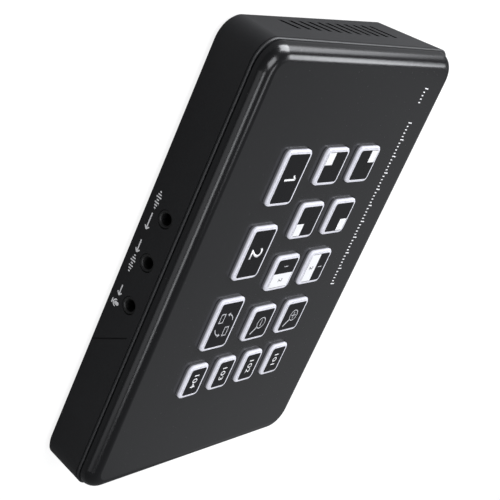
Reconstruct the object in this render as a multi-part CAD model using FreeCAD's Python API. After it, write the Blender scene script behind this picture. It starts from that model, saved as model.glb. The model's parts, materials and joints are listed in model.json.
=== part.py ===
import FreeCAD, Part
import math
import os

# Desktop video mixer with fifteen lit keys on a sloping panel.
#
# Two frames are used. The panel frame has its origin at the middle of the panel face,
# X to the right, Y to the rear and Z out of the panel. The console frame stands on the
# feet: Z is up and the panel slopes down to the front. Sizes are in millimetres.

Vector = FreeCAD.Vector

# Body outline, measured at the seam between shell and base
body_width = 150.0
body_depth = 105.8
front_height = 20.2
rear_height = 26.4
base_front_radius = 7.8
base_rear_radius = 5.0
shell_front_radius = 8.5
shell_rear_radius = 9.0
inside_radius = 0.8
front_slope = 0.077
end_slope = 0.023
rear_slope = 0.577
wall = 2.0
floor_thickness = 2.0
underside_bevel = 0.8
base_edge_bevel = 0.3

# Small round forms are drawn with flat sides
corner_steps = 3
few_sides = 8
many_sides = 16

# Top shell
panel_thickness = 2.0
shell_height = 4.9
rim_radius = 4.3
shell_setback = 0.35
seam_height = 0.5
seam_depth = 0.6
lip_thickness = 1.0
lip_height = 1.6
lip_clearance = 0.35
lip_rear_gap = 10.0

# Fine line moulded round the base below the seam
line_drop = 0.75
line_width = 0.25
line_depth = 0.25

# Keys
key_face = 11.1
wide_face = 16.9
small_face_x = 10.4
small_face_y = 7.9
column_pitch = 18.93
column_count = 4
first_column_x = -37.44
row_1_y = 18.97
row_2_y = 0.49
row_3_y = -20.32
small_column_x = 37.2
small_row_pitch = 14.44
small_row_count = 4
first_small_y = 20.95
key_rim = 0.75
key_radius = 1.8
face_radius = 1.2
key_rise = 1.35
key_edge_bevel = 0.3
key_wall = 1.1
key_roof = 1.0
key_gap = 0.3
key_travel = 0.8
face_depth = 0.6
face_proud = 0.15
face_clearance = 0.06
flange_width = 0.7
flange_thickness = 0.8
flange_gap = 0.05
stem_width = 2.8
stem_clearance = 0.3
stem_entry = 0.8

# Key board with its switches and lamps
key_board_depth = 9.0
board_thickness = 1.6
key_board_margin = 6.0
key_board_jack_gap = 4.1
switch_size = 6.0
switch_height = 3.8
switch_rest = 1.0
lamp_length = 2.0
lamp_width = 1.25
lamp_height = 0.8
lamp_offset = 4.3
post_radius = 2.3
post_inset = 3.0
middle_post_xs = (-22.0, 11.0)

# Small screws that hold the boards
small_screw_radius = 1.0
small_head_radius = 1.9
small_head_height = 1.3
small_screw_length = 5.0
thread_clearance = 0.05

# Case screws, driven from below through deep bosses
case_screw_inset = 11.0
case_screw_front_inset = 12.4
case_screw_rear_inset = 16.9
case_screw_radius = 1.5
case_screw_length = 8.0
case_head_radius = 2.8
case_head_height = 2.2
case_head_clearance = 0.3
shell_boss_radius = 3.2
base_boss_radius = 4.6
boss_seat = 2.5
boss_joint_depth = 9.0
shank_clearance = 0.15

# Feet
foot_height = 1.0
foot_radius = 4.5
foot_recess = 0.5
foot_clearance = 0.1
foot_bevel = 0.3
foot_inset = 23.0
foot_front_inset = 12.4
foot_rear_inset = 20.9

# Main board
main_board_top = 7.1
main_board_gap = 2.0
main_board_end_gap = 16.5
main_screw_inset = 25.0
main_screw_front_inset = 26.9
main_screw_rear_inset = 30.9
standoff_radius = 2.8

# Audio jacks on the front wall
jack_pitch = 14.4
first_jack_x = -15.7
jack_width = 6.4
jack_body_length = 12.0
jack_axis_height = 2.6
jack_nose_radius = 2.6
jack_nose_clearance = 0.2
jack_bore_radius = 1.8
jack_bore_length = 13.0
jack_mouth_radius = 2.05
jack_mouth_depth = 0.3
jack_setback = 0.35

# Rear bay that the sockets stand in
bay_inset = 18.0
bay_low = 5.0
bay_high = 15.4
bay_wall = 1.6
socket_inset = 11.0
socket_count = 5
socket_group_gap = 4.0
socket_clearance = 0.25

# Video sockets in the rear bay
video_width = 15.0
video_height = 6.2
video_side_height = 3.0
video_foot_width = 10.8
video_depth = 11.5
video_shell = 0.5
video_tongue_width = 11.0
video_tongue_thickness = 1.3
video_tongue_drop = 1.2
insulator_depth = 3.0
tongue_setback = 1.2

# Small oval sockets in the rear bay
oval_width = 9.6
oval_height = 3.9
oval_depth = 8.0
oval_shell = 0.35
oval_end_steps = 6
oval_tongue_width = 6.4
oval_tongue_thickness = 0.7
oval_lift = 0.1
oval_tab_setback = 1.0

# Vent slots in both ends
vent_count = 11
vent_pitch = 5.35
first_vent_y = -25.1
vent_width = 2.0
vent_lean = 0.53
vent_high_first = 12.9
vent_high_last = 12.0
vent_low_first = 18.4
vent_low_last = 20.3

# Slanted groove on the front wall
groove_low_x = 30.4
groove_high_x = 21.9
groove_high_depth = 7.7
groove_width = 0.5
groove_depth = 0.5

# Parts on the main board
processor_size = 14.0
processor_height = 1.4
processor_x = 12.0
processor_y = 6.0
sink_size = 26.0
sink_base = 1.4
sink_height = 3.6
fin_count = 9
fin_thickness = 0.9
memory_length = 9.0
memory_width = 7.5
memory_height = 1.1
memory_gap = 3.0
capacitor_radius = 2.5
capacitor_height = 4.6
capacitor_xs = (-47.0, -40.0, -33.0)
capacitor_y = 12.0
link_length = 26.0
link_width = 5.0
link_x = -34.0
link_y = -18.0

# Worked out from the sizes above
tilt = math.atan((rear_height - front_height) / body_depth)
SIN = math.sin(tilt)
COS = math.cos(tilt)
half_width = body_width / 2
half_depth = body_depth / 2
lift = foot_height + half_depth * SIN + front_height * COS
shift = -shell_height * SIN
key_board_top = -key_board_depth
key_board_bottom = -key_board_depth - board_thickness
main_board_bottom = main_board_top - board_thickness
floor_top = foot_height + floor_thickness
shell_inset = wall + lip_clearance + lip_thickness
underside_slope = math.tan(tilt)
wide_pitch = ((column_count - 1) * column_pitch + key_face - wide_face) / 2
bay_half_width = half_width - bay_inset
socket_pitch = (2 * (bay_half_width - socket_inset) - socket_group_gap) / (socket_count - 1)
video_socket_xs = [bay_half_width - socket_inset - i * socket_pitch for i in (2, 1, 0)]
oval_socket_xs = [-bay_half_width + socket_inset + i * socket_pitch for i in (0, 1)]
BIG = 400.0


def panel_to_console(shape):
    """Turn a shape made in the panel frame into the console frame."""
    placed = shape.copy()
    placed.rotate(Vector(0, 0, 0), Vector(1, 0, 0), math.degrees(tilt))
    placed.translate(Vector(0, shift, lift))
    return placed


def panel_height(y):
    """Height of the panel face above the table, at a depth y of the console frame."""
    return lift + (y - shift) * underside_slope


def wall_y(z, side):
    """Depth of the outer front (-1) or rear (+1) wall at a height z of the console frame."""
    slope = front_slope if side < 0 else rear_slope
    edge = side * (half_depth + shell_height * slope)
    grow = side * slope
    panel_z = (z - lift - edge * SIN) / (COS + grow * SIN)
    return (edge + grow * panel_z) * COS - panel_z * SIN + shift


def box(x, y, z, cx, cy, z0):
    """Box centred on (cx, cy) that stands on z0."""
    return Part.makeBox(x, y, z, Vector(cx - x / 2, cy - y / 2, z0))


def upright_edges(solid):
    """Edges of a solid that run along Z."""
    found = []
    for edge in solid.Edges:
        a, b = edge.Vertexes[0].Point, edge.Vertexes[-1].Point
        if abs(a.x - b.x) < 1e-6 and abs(a.y - b.y) < 1e-6:
            found.append(edge)
    return found


def edges_at(solid, z):
    """Edges of a solid that lie wholly at height z."""
    found = []
    for edge in solid.Edges:
        bounds = edge.BoundBox
        if abs(bounds.ZMin - z) < 1e-4 and abs(bounds.ZMax - z) < 1e-4:
            found.append(edge)
    return found


def turned(radius, steps, start, sweep):
    """Points (a, b) on a circle, from one angle over a sweep in degrees, in even steps."""
    angles = [math.radians(start + sweep * i / steps) for i in range(steps + 1)]
    return [(radius * math.cos(angle), radius * math.sin(angle)) for angle in angles]


def upright_prism(points, height, x, y, z0):
    """Prism with a closed (x, y) outline round (x, y), standing on z0."""
    corners = [Vector(x + a, y + b, z0) for a, b in points]
    face = Part.Face(Part.makePolygon(corners + corners[:1]))
    return face.extrude(Vector(0, 0, height))


def rounded_box(x, y, z, radius, cx, cy, z0):
    """Box with its upright edges turned in small steps, centred on (cx, cy), standing on z0."""
    points = []
    for sx, sy, start in ((1, 1, 0), (-1, 1, 90), (-1, -1, 180), (1, -1, 270)):
        points += [(sx * (x / 2 - radius) + a, sy * (y / 2 - radius) + b)
                   for a, b in turned(radius, corner_steps, start, 90)]
    return upright_prism(points, z, cx, cy, z0)


def post(radius, height, x, y, z0, sides=few_sides):
    """Upright post with flat sides."""
    return upright_prism(turned(radius, sides, 0, 360)[:-1], height, x, y, z0)


def prism_along_x(points, x0, x1):
    """Solid with a (y, z) outline, from x0 to x1."""
    corners = [Vector(x0, y, z) for y, z in points]
    face = Part.Face(Part.makePolygon(corners + corners[:1]))
    return face.extrude(Vector(x1 - x0, 0, 0))


def prism_along_y(points, y0, y1):
    """Solid with an (x, z) outline, from y0 to y1."""
    corners = [Vector(x, y0, z) for x, z in points]
    face = Part.Face(Part.makePolygon(corners + corners[:1]))
    return face.extrude(Vector(0, y1 - y0, 0))


def save(name, *solids):
    """Write one node."""
    shape = solids[0] if len(solids) == 1 else Part.makeCompound(list(solids))
    shape.exportStep(os.path.join("parts", name + ".step"))


def body_block(inset, top, bottom, front_radius=base_front_radius, rear_radius=base_rear_radius):
    """Solid inside the sloping walls, in the panel frame, with its four corners rounded."""
    x_points = []
    y_points = []
    for z, order in ((top, 1), (bottom, -1)):
        drop = -shell_height - z
        x = half_width - inset - drop * end_slope
        front = -half_depth + inset + drop * front_slope
        rear = half_depth - inset - drop * rear_slope
        x_points += [(-x, z), (x, z)][::order]
        y_points += [(front, z), (rear, z)][::order]
    solid = prism_along_x(y_points, -BIG, BIG).common(prism_along_y(x_points, -BIG, BIG))
    for side, radius in ((-1, front_radius), (1, rear_radius)):
        corners = [edge for edge in solid.Edges
                   if edge.Curve.TypeId == "Part::GeomLine"
                   and abs(edge.Vertexes[0].Z - edge.Vertexes[-1].Z) > (top - bottom) / 2
                   and edge.CenterOfMass.y * side > half_depth / 2]
        solid = solid.makeFillet(max(radius - inset, inside_radius), corners)
    return solid


def plan_block(inset, top, bottom):
    """Upright-walled block with the outline of the shell, drawn in by inset."""
    width = body_width - 2 * inset
    depth = body_depth - 2 * inset
    solid = box(width, depth, top - bottom, 0, 0, bottom)
    for side, radius in ((-1, shell_front_radius), (1, shell_rear_radius)):
        corners = [edge for edge in upright_edges(solid)
                   if abs(edge.CenterOfMass.y - side * depth / 2) < 1e-4]
        solid = solid.makeFillet(max(radius - inset, inside_radius), corners)
    return solid


def above(shape, z):
    """The part of a console-frame shape above a level."""
    return shape.common(box(BIG, BIG, BIG, 0, 0, z)).Solids[0]


def key_list():
    """Every key as (name, x, y, face width, face depth), in the panel frame."""
    columns = [first_column_x + i * column_pitch for i in range(column_count)]
    keys = []
    row_1 = ("inset_top_left", "inset_top_right", "split_stacked", "zoom_in")
    row_2 = ("inset_bottom_left", "inset_bottom_right", "split_beside", "zoom_out")
    for names, y in ((row_1, row_1_y), (row_2, row_2_y)):
        for name, x in zip(names, columns):
            keys.append((name, x, y, key_face, key_face))
    first_wide_x = first_column_x - key_face / 2 + wide_face / 2
    for i, name in enumerate(("source_1", "source_2", "swap")):
        keys.append((name, first_wide_x + i * wide_pitch, row_3_y, wide_face, key_face))
    for i in range(small_row_count):
        y = first_small_y - i * small_row_pitch
        keys.append(("audio_%d" % (i + 1), small_column_x, y, small_face_x, small_face_y))
    return keys


def key_cap(x, y, face_x, face_y):
    """Milky key body: hollow cap with a flange under the panel and a stem for its switch."""
    cap_x = face_x + 2 * key_rim
    cap_y = face_y + 2 * key_rim
    skirt = -panel_thickness - flange_gap - flange_thickness
    cap = rounded_box(cap_x, cap_y, key_rise - skirt, key_radius, x, y, skirt)
    cap = cap.makeChamfer(key_edge_bevel, edges_at(cap, key_rise))
    cap = cap.fuse(box(cap_x + 2 * flange_width, cap_y + 2 * flange_width, flange_thickness, x, y, skirt))
    seat = key_rise - face_depth
    roof = seat - key_roof
    cap = cap.cut(box(cap_x - 2 * key_wall, cap_y - 2 * key_wall, roof - skirt, x, y, skirt))
    stem_end = key_board_top + switch_height - stem_entry
    cap = cap.fuse(box(stem_width, stem_width, roof - stem_end, x, y, stem_end))
    recess = rounded_box(face_x + 2 * face_clearance, face_y + 2 * face_clearance, face_depth + 1,
                         face_radius + face_clearance, x, y, seat)
    return cap.cut(recess).removeSplitter()


def key_face_plate(x, y, face_x, face_y):
    """Dark plate let into the top of a key."""
    height = face_depth + face_proud
    return rounded_box(face_x, face_y, height, face_radius, x, y, key_rise - face_depth)


def key_switch(x, y):
    """Push switch body with the well that the key's stem runs in."""
    body = box(switch_size, switch_size, switch_height, x, y, key_board_top)
    depth = stem_entry + key_travel + switch_rest
    width = stem_width + 2 * stem_clearance
    return body.cut(box(width, width, depth, x, y, key_board_top + switch_height - depth))


def key_lamp(x, y):
    """Lamp on the key board beside a switch, under the hollow of its key."""
    return box(lamp_width, lamp_length, lamp_height, x + lamp_offset, y, key_board_top)


def board_extent(keys):
    """Half width, lowest y and highest y of the key board."""
    margin = key_rim + flange_width + key_board_margin
    low_y = jack_rear_on_panel() + key_board_jack_gap
    high_y = max(y + face_y / 2 for _, _, y, _, face_y in keys) + margin
    half = max(abs(x) + face_x / 2 for _, x, _, face_x, _ in keys) + margin
    return half, low_y, high_y


def post_places(keys):
    """Places of the posts that carry the key board, in the panel frame."""
    half, low_y, high_y = board_extent(keys)
    post_ys = (low_y + post_inset, high_y - post_inset)
    corners = [(sx * (half - post_inset), y) for sx in (-1, 1) for y in post_ys]
    middle_y = (row_2_y + row_3_y) / 2
    return corners + [(x, middle_y) for x in middle_post_xs]


def key_board(keys):
    """Printed board that carries the switches, parallel to the panel."""
    half, low_y, high_y = board_extent(keys)
    board = box(2 * half, high_y - low_y, board_thickness, 0, (low_y + high_y) / 2, key_board_bottom)
    for x, y in post_places(keys):
        hole = post(small_screw_radius + shank_clearance, board_thickness, x, y, key_board_bottom)
        board = board.cut(hole)
    return board


def screw(shank_radius, head_radius, head_height, length, sides=few_sides):
    """Screw along +Z with its head below z = 0."""
    head = post(head_radius, head_height, 0, 0, -head_height, sides)
    return head.fuse(post(shank_radius, length, 0, 0, 0))


def four_places(inset, front_inset, rear_inset):
    """Four places (x, y) at named insets from the body's outline, in the console frame."""
    ys = (front_inset - half_depth, half_depth - rear_inset)
    return [(sx * (half_width - inset), y) for y in ys for sx in (-1, 1)]


def case_screw_places():
    """Places of the four case screws."""
    return four_places(case_screw_inset, case_screw_front_inset, case_screw_rear_inset)


def joint_height(y):
    """Height where the bosses of shell and base meet, in the console frame."""
    return panel_height(y) - boss_joint_depth


def top_shell(keys):
    """Glossy shell: panel, rounded rim, key openings, lip, screw bosses and board posts."""
    shell = plan_block(shell_setback, 0, -shell_height)
    shell = shell.makeFillet(rim_radius, edges_at(shell, 0))
    seam = box(BIG, BIG, seam_height, 0, 0, -shell_height)
    shell = shell.cut(seam.cut(plan_block(shell_setback + seam_depth, 0, -shell_height)))
    shell = shell.cut(plan_block(shell_inset, -panel_thickness, -shell_height))
    lip_top = -shell_height + seam_height
    lip_low = -shell_height - lip_height
    lip = plan_block(wall + lip_clearance, lip_top, lip_low).cut(plan_block(shell_inset, lip_top, lip_low))
    lip = lip.cut(box(BIG, 2 * lip_rear_gap, BIG, 0, half_depth, -BIG))
    shell = shell.fuse(lip)
    for x, y in post_places(keys):
        height = key_board_depth - panel_thickness
        shell = shell.fuse(post(post_radius, height, x, y, key_board_top))
        pilot = post(small_screw_radius + thread_clearance, small_screw_length, x, y, key_board_top)
        shell = shell.cut(pilot)
    for _, x, y, face_x, face_y in keys:
        grow = 2 * (key_rim + key_gap)
        opening = rounded_box(face_x + grow, face_y + grow, panel_thickness, key_radius + key_gap,
                              x, y, -panel_thickness)
        shell = shell.cut(opening)
    shell = panel_to_console(shell)
    for x, y in case_screw_places():
        low = joint_height(y)
        under = panel_height(y) - panel_thickness / COS
        shell = shell.fuse(post(shell_boss_radius, under + panel_thickness / 2 - low, x, y, low))
        depth = case_screw_length - boss_seat + 1
        shell = shell.cut(post(case_screw_radius + thread_clearance, depth, x, y, low))
    return shell.removeSplitter()


def vent_cutters():
    """Slanted slots through both end walls, in the panel frame."""
    cutters = []
    half = vent_width / 2
    for i in range(vent_count):
        part = i / (vent_count - 1)
        high = -vent_high_first + part * (vent_high_first - vent_high_last)
        low = -vent_low_first - part * (vent_low_last - vent_low_first)
        top_y = first_vent_y + i * vent_pitch
        low_y = top_y - (high - low) * vent_lean
        outline = [(low_y - half, low), (low_y + half, low), (top_y + half, high), (top_y - half, high)]
        for side in (-1, 1):
            middle = side * half_width
            cutters.append(prism_along_x(outline, middle - 3 * wall, middle + 3 * wall))
    return cutters


def bay_plane():
    """Depth of the upright face of the rear bay, in the console frame."""
    return wall_y(bay_low, 1)


def base_housing():
    """Matte tub: sloping walls, vents, jack holes, rear bay, bosses, standoffs and foot seats."""
    deep = -rear_height - 8
    block = body_block(0, -shell_height, deep)
    block = block.makeChamfer(base_edge_bevel, edges_at(block, -shell_height))
    outer = above(panel_to_console(block), foot_height)
    outer = outer.makeChamfer(underside_bevel, edges_at(outer, foot_height))
    hollow = body_block(wall, -shell_height, deep, shell_front_radius, shell_rear_radius)
    inner = above(panel_to_console(hollow), floor_top)
    bay_depth = 40.0
    bay_y = bay_plane()
    bay_solid = box(2 * (bay_half_width + bay_wall), bay_depth, bay_high + bay_wall - floor_top,
                    0, bay_y - bay_wall + bay_depth / 2, floor_top)
    base = outer.cut(inner.cut(bay_solid))
    base = base.cut(box(2 * bay_half_width, bay_depth, bay_high - bay_low, 0, bay_y + bay_depth / 2, bay_low))
    panel_cuts = vent_cutters()
    line_top = -shell_height - line_drop
    line = box(BIG, BIG, line_width, 0, 0, line_top - line_width)
    panel_cuts.append(line.cut(body_block(line_depth, -shell_height, deep)))
    low = -front_height - 2
    run = (groove_low_x - groove_high_x) / (front_height - groove_high_depth)
    low_x = groove_high_x + run * (-groove_high_depth - low)
    half = groove_width / 2
    outline = [(groove_high_x - half, -groove_high_depth), (groove_high_x + half, -groove_high_depth),
               (low_x + half, low), (low_x - half, low)]
    groove = prism_along_y(outline, -half_depth - 1, -half_depth + 3 * wall)
    panel_cuts.append(groove.cut(body_block(groove_depth, -shell_height, low - 1)))
    for cutter in panel_cuts:
        base = base.cut(panel_to_console(cutter))
    for x, y in case_screw_places():
        top = joint_height(y)
        base = base.fuse(post(base_boss_radius, top - floor_top, x, y, floor_top))
        base = base.cut(post(case_head_radius + case_head_clearance, top - boss_seat, x, y, 0, many_sides))
        base = base.cut(post(case_screw_radius + shank_clearance, BIG, x, y, 0))
    for x, y in main_screw_places():
        base = base.fuse(post(standoff_radius, main_board_bottom - floor_top, x, y, floor_top))
        depth = small_screw_length - board_thickness
        base = base.cut(post(small_screw_radius + thread_clearance, depth, x, y, main_board_bottom - depth))
    for x, y in foot_places():
        base = base.cut(post(foot_radius + foot_clearance, foot_recess, x, y, foot_height, many_sides))
    for x in jack_xs():
        front = -half_depth - wall
        base = base.cut(nose_bar(jack_nose_radius + jack_nose_clearance, x, front, front + 6 * wall))
    for cutter in video_cutters() + oval_cutters():
        base = base.cut(cutter)
    return base.removeSplitter()


def main_screw_places():
    """Places of the main board's screws."""
    return four_places(main_screw_inset, main_screw_front_inset, main_screw_rear_inset)


def foot_places():
    """Places of the four feet."""
    return four_places(foot_inset, foot_front_inset, foot_rear_inset)


def jack_xs():
    """Places of the three audio jacks along the front wall."""
    return [first_jack_x + i * jack_pitch for i in range(3)]


def jack_axis():
    """Height of the jack axes, in the console frame."""
    return main_board_top + jack_axis_height


def jack_front():
    """Depth of the jack noses' front faces, in the console frame."""
    return wall_y(jack_axis(), -1) + jack_setback


def jack_body_front():
    """Depth where the square body of a jack starts, just behind the front wall."""
    return wall_y(main_board_top, -1) + wall + jack_nose_clearance


def jack_rear_on_panel():
    """Depth of the jacks' upper rear edge, in the panel frame."""
    y = jack_body_front() + jack_body_length
    z = main_board_top + 2 * jack_axis_height
    return (y - shift) * COS + (z - lift) * SIN


def nose_bar(radius, x, y0, y1):
    """Bar along Y on a jack's axis, with flat sides."""
    outline = [(x + a, jack_axis() + b) for a, b in turned(radius, many_sides, 0, 360)[:-1]]
    return prism_along_y(outline, y0, y1)


def main_board_span():
    """Front and rear edge of the main board, in the console frame."""
    front = wall_y(main_board_bottom, -1) + wall + 2 * main_board_gap
    rear = bay_plane() - bay_wall - main_board_gap
    return front, rear


def main_board():
    """Printed board on the standoffs, level with the table."""
    front, rear = main_board_span()
    width = body_width - 2 * main_board_end_gap
    board = box(width, rear - front, board_thickness, 0, (front + rear) / 2, main_board_bottom)
    for x, y in main_screw_places():
        hole = post(small_screw_radius + shank_clearance, board_thickness, x, y, main_board_bottom)
        board = board.cut(hole)
    return board


def audio_jack(x):
    """Jack with a round nose in the front wall and a stepped mouth."""
    start = jack_body_front()
    front = jack_front()
    axis = jack_axis()
    height = 2 * jack_axis_height
    body = box(jack_width, jack_body_length, height, x, start + jack_body_length / 2, main_board_top)
    body = body.fuse(nose_bar(jack_nose_radius, x, front, start))
    tip = Vector(x, front, axis)
    along = Vector(0, 1, 0)
    body = body.cut(Part.makeCylinder(jack_bore_radius, jack_bore_length, tip, along))
    body = body.cut(Part.makeCone(jack_mouth_radius, jack_bore_radius, jack_mouth_depth, tip, along))
    return body.removeSplitter()


def video_outline(x, grow):
    """Outline (x, z) of a video socket, wide at the top and drawn in at the foot."""
    low = main_board_top - grow
    high = main_board_top + video_height + grow
    shoulder = main_board_top + video_height - video_side_height
    wide = video_width / 2 + grow
    narrow = video_foot_width / 2 + grow
    return [(x - narrow, low), (x + narrow, low), (x + wide, shoulder), (x + wide, high),
            (x - wide, high), (x - wide, shoulder)]


def video_socket(x):
    """Metal shell of a video socket, open at the rear."""
    front = bay_plane()
    shell = prism_along_y(video_outline(x, 0), front - video_depth, front)
    return shell.cut(prism_along_y(video_outline(x, -video_shell), front - video_depth, front))


def video_tongue(x):
    """Insulator at the back of a video socket with the contact tongue."""
    front = bay_plane()
    block = prism_along_y(video_outline(x, -video_shell), front - video_depth,
                          front - video_depth + insulator_depth)
    z = main_board_top + video_height / 2 + video_tongue_drop / 2 - video_tongue_thickness / 2
    length = video_depth - tongue_setback
    tongue = box(video_tongue_width, length, video_tongue_thickness,
                 x, front - video_depth + length / 2, z)
    return block.fuse(tongue).removeSplitter()


def video_cutters():
    """Openings of the video sockets in the bay wall."""
    front = bay_plane()
    return [prism_along_y(video_outline(x, socket_clearance), front - 2 * bay_wall, front + bay_wall)
            for x in video_socket_xs]


def oval_block(x, grow, y0, y1):
    """Long bar along Y with turned ends, as wide as an oval socket."""
    radius = oval_height / 2 + grow
    reach = (oval_width - oval_height) / 2
    z = main_board_top + oval_lift + oval_height / 2
    outline = [(x + reach + a, z + b) for a, b in turned(radius, oval_end_steps, -90, 180)]
    outline += [(x - reach + a, z + b) for a, b in turned(radius, oval_end_steps, 90, 180)]
    return prism_along_y(outline, y0, y1)


def oval_socket(x):
    """Metal shell of a small oval socket with the tab that it stands on."""
    front = bay_plane()
    shell = oval_block(x, 0, front - oval_depth, front)
    tab_depth = oval_depth - 2 * oval_tab_setback
    shell = shell.fuse(box(oval_width - oval_height, tab_depth, oval_lift + oval_shell,
                           x, front - oval_depth / 2, main_board_top))
    return shell.cut(oval_block(x, -oval_shell, front - oval_depth, front)).removeSplitter()


def oval_tongue(x):
    """Insulator and contact tongue of a small oval socket."""
    front = bay_plane()
    block = oval_block(x, -oval_shell, front - oval_depth, front - oval_depth + insulator_depth / 2)
    z = main_board_top + oval_lift + oval_height / 2 - oval_tongue_thickness / 2
    length = oval_depth - tongue_setback
    tongue = box(oval_tongue_width, length, oval_tongue_thickness, x, front - oval_depth + length / 2, z)
    return block.fuse(tongue).removeSplitter()


def oval_cutters():
    """Openings of the small oval sockets in the bay wall."""
    front = bay_plane()
    return [oval_block(x, socket_clearance, front - 2 * bay_wall, front + bay_wall) for x in oval_socket_xs]


def rubber_foot(x, y):
    """Round foot set in its shallow seat."""
    foot = post(foot_radius, foot_height + foot_recess, x, y, 0, many_sides)
    return foot.makeChamfer(foot_bevel, edges_at(foot, 0))


def heat_sink():
    """Finned block on the processor."""
    z = main_board_top + processor_height
    sink = box(sink_size, sink_size, sink_base, processor_x, processor_y, z)
    pitch = (sink_size - fin_thickness) / (fin_count - 1)
    for i in range(fin_count):
        x = processor_x - (sink_size - fin_thickness) / 2 + i * pitch
        fin = box(fin_thickness, sink_size, sink_height - sink_base, x, processor_y, z + sink_base)
        sink = sink.fuse(fin)
    return sink.removeSplitter()


def board_link():
    """Stacking connector between the two boards, cut to the slope of the key board."""
    tower = box(link_length, link_width, BIG, link_x, link_y, main_board_top)
    under = panel_to_console(box(BIG, BIG, BIG, 0, 0, key_board_bottom))
    return tower.cut(under)


def build():
    """Make every piece of the mixer."""
    os.makedirs("parts", exist_ok=True)
    keys = key_list()
    save("top_shell", top_shell(keys))
    save("base_housing", base_housing())
    for name, x, y, face_x, face_y in keys:
        save("key_cap_" + name, panel_to_console(key_cap(x, y, face_x, face_y)))
        save("key_face_" + name, panel_to_console(key_face_plate(x, y, face_x, face_y)))
    save("key_switches", *[panel_to_console(key_switch(x, y)) for _, x, y, _, _ in keys])
    save("key_lamps", *[panel_to_console(key_lamp(x, y)) for _, x, y, _, _ in keys])
    save("key_board", panel_to_console(key_board(keys)))
    small = screw(small_screw_radius, small_head_radius, small_head_height, small_screw_length)
    screws = []
    for x, y in post_places(keys):
        one = small.copy()
        one.translate(Vector(x, y, key_board_bottom))
        screws.append(panel_to_console(one))
    save("key_board_screws", *screws)
    save("main_board", main_board())
    screws = []
    for x, y in main_screw_places():
        one = small.copy()
        one.rotate(Vector(0, 0, 0), Vector(1, 0, 0), 180)
        one.translate(Vector(x, y, main_board_top))
        screws.append(one)
    save("main_board_screws", *screws)
    case = screw(case_screw_radius, case_head_radius, case_head_height, case_screw_length, many_sides)
    screws = []
    for x, y in case_screw_places():
        one = case.copy()
        one.translate(Vector(x, y, joint_height(y) - boss_seat))
        screws.append(one)
    save("case_screws", *screws)
    save("rubber_feet", *[rubber_foot(x, y) for x, y in foot_places()])
    for name, x in zip(("line_output_jack", "line_input_jack", "microphone_jack"), jack_xs()):
        save(name, audio_jack(x))
    video_names = ("video_output_socket", "video_input_socket_2", "video_input_socket_1")
    for name, x in zip(video_names, video_socket_xs):
        save(name, video_socket(x))
    save("power_socket", oval_socket(oval_socket_xs[0]))
    save("data_socket", oval_socket(oval_socket_xs[1]))
    save("socket_tongues", *[video_tongue(x) for x in video_socket_xs],
         *[oval_tongue(x) for x in oval_socket_xs])
    save("video_processor", box(processor_size, processor_size, processor_height,
                                processor_x, processor_y, main_board_top))
    save("heat_sink", heat_sink())
    memory_x = processor_x + sink_size / 2 + memory_gap + memory_length / 2
    save("memory_chips", *[box(memory_length, memory_width, memory_height, memory_x,
                               processor_y + side * (memory_width + memory_gap) / 2, main_board_top)
                           for side in (-1, 1)])
    save("capacitors", *[post(capacitor_radius, capacitor_height, x, capacitor_y, main_board_top, many_sides)
                         for x in capacitor_xs])
    save("board_link", board_link())


build()
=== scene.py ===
"""Looks of a desktop video mixer: lit push keys on a sloping glossy panel over a matte slotted base."""
import json
import logging
import math
from dataclasses import dataclass
from enum import Enum
from typing import Dict, Optional, Sequence, Tuple, Union

import bmesh
import bpy
from mathutils import Matrix, Vector


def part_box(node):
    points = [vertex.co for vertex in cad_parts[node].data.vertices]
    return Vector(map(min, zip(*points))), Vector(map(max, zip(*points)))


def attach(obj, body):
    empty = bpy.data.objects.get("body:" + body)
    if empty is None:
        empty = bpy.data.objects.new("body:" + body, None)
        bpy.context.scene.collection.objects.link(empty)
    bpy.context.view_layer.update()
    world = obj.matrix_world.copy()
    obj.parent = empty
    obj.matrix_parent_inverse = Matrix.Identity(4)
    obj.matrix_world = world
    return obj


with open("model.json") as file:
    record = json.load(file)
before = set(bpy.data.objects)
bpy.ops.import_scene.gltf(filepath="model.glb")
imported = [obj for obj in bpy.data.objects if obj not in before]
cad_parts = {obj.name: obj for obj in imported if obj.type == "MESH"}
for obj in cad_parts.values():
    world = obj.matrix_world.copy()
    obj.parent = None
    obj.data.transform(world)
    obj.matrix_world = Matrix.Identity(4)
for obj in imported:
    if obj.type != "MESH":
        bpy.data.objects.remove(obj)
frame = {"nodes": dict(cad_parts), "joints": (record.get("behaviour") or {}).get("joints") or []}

LOG = logging.getLogger("video_mixer")
# Drawings are in millimetres. What is multiplied by MM is in the frame's metres.
MM = 0.001
Pair = Tuple[float, float]
Triple = Tuple[float, float, float]
Colour = Triple
# The plate that gives the panel's level, how high its middle lies over the panel,
# and how far it lies up the slope from the point that the camera's place is measured from.
TOP_KEY = "key_face_inset_top_left"
PANEL_TO_PLATE = 1.125 * MM
TOP_ROW = 18.97 * MM


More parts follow.
